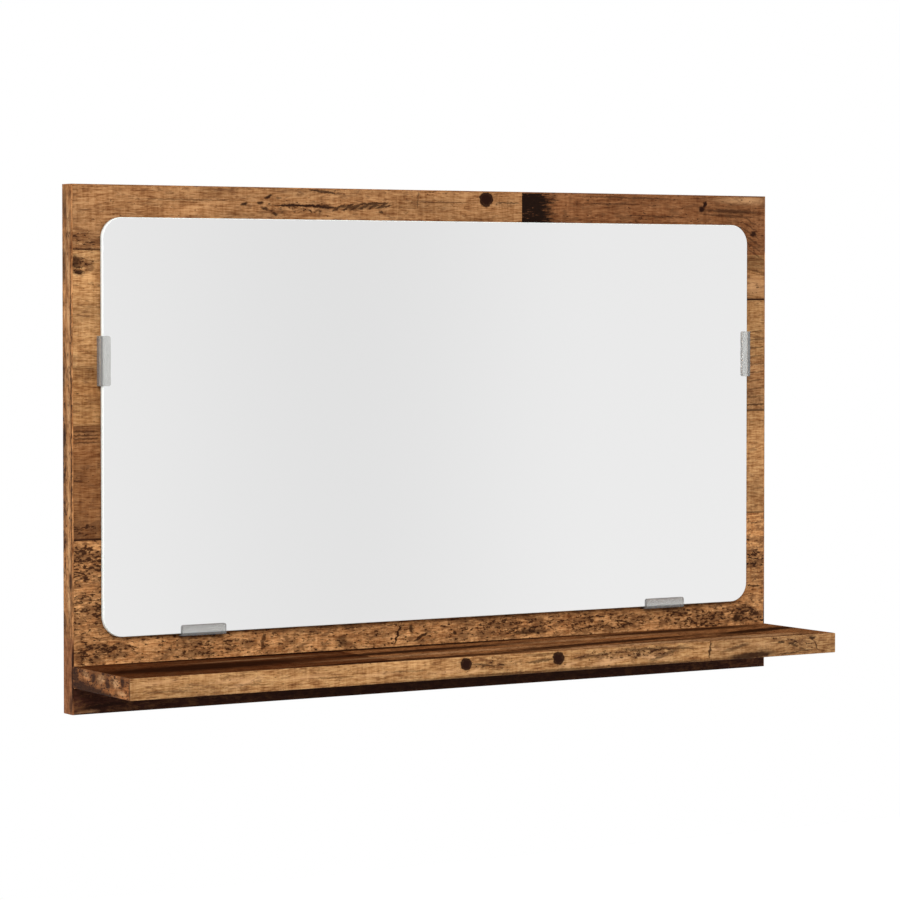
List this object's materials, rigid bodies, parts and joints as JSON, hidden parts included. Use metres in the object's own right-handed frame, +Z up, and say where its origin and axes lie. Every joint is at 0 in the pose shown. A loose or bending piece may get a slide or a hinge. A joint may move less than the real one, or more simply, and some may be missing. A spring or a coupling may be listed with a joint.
{
  "type": "bathroom wall mirror with shelf",
  "caption": "Wall-hung bathroom mirror: wood-decor board with a shelf along its foot and a round-cornered mirror pane that drops into clear clips.",
  "frame": {"origin": "centre of the back panel's back face, on the wall", "axes": "+X to the viewer's right along the shelf, +Y out of the back face into the wall, +Z up"},
  "size_m": [0.6, 0.105, 0.37],
  "materials": {
    "decor_board": "melamine-faced chipboard, reclaimed wood decor",
    "edge_band": "edge banding in the same decor",
    "mirror": "silvered float glass with ground edges",
    "safety_film": "self-adhesive safety film",
    "clear_clip": "clear moulded plastic",
    "zinc_screw": "zinc-plated steel",
    "hanger_steel": "zinc-plated pressed steel",
    "dowel_beech": "plain beech"
  },
  "bodies": {
    "wall_panel": {"back_panel": "decor_board", "panel_band_left": "edge_band", "panel_band_right": "edge_band", "panel_band_top": "edge_band", "panel_band_bottom": "edge_band", "shelf_board": "decor_board", "shelf_band_front": "edge_band", "shelf_band_left": "edge_band", "shelf_band_right": "edge_band", "mirror_clip_left": "clear_clip", "mirror_clip_right": "clear_clip", "mirror_clip_bottom_left": "clear_clip", "mirror_clip_bottom_right": "clear_clip", "clip_screws": "zinc_screw", "shelf_screws": "zinc_screw", "shelf_dowels": "dowel_beech", "hanger_plate_left": "hanger_steel", "hanger_plate_right": "hanger_steel", "hanger_screws": "zinc_screw"},
    "mirror_pane": {"mirror_glass": "mirror", "mirror_safety_film": "safety_film"}
  },
  "joints": [
    {"name": "mirror_lift", "type": "slide", "parent": "wall_panel", "child": "mirror_pane", "axis": [0, 0, 1], "range_m": [0, 0.211]}
  ]
}
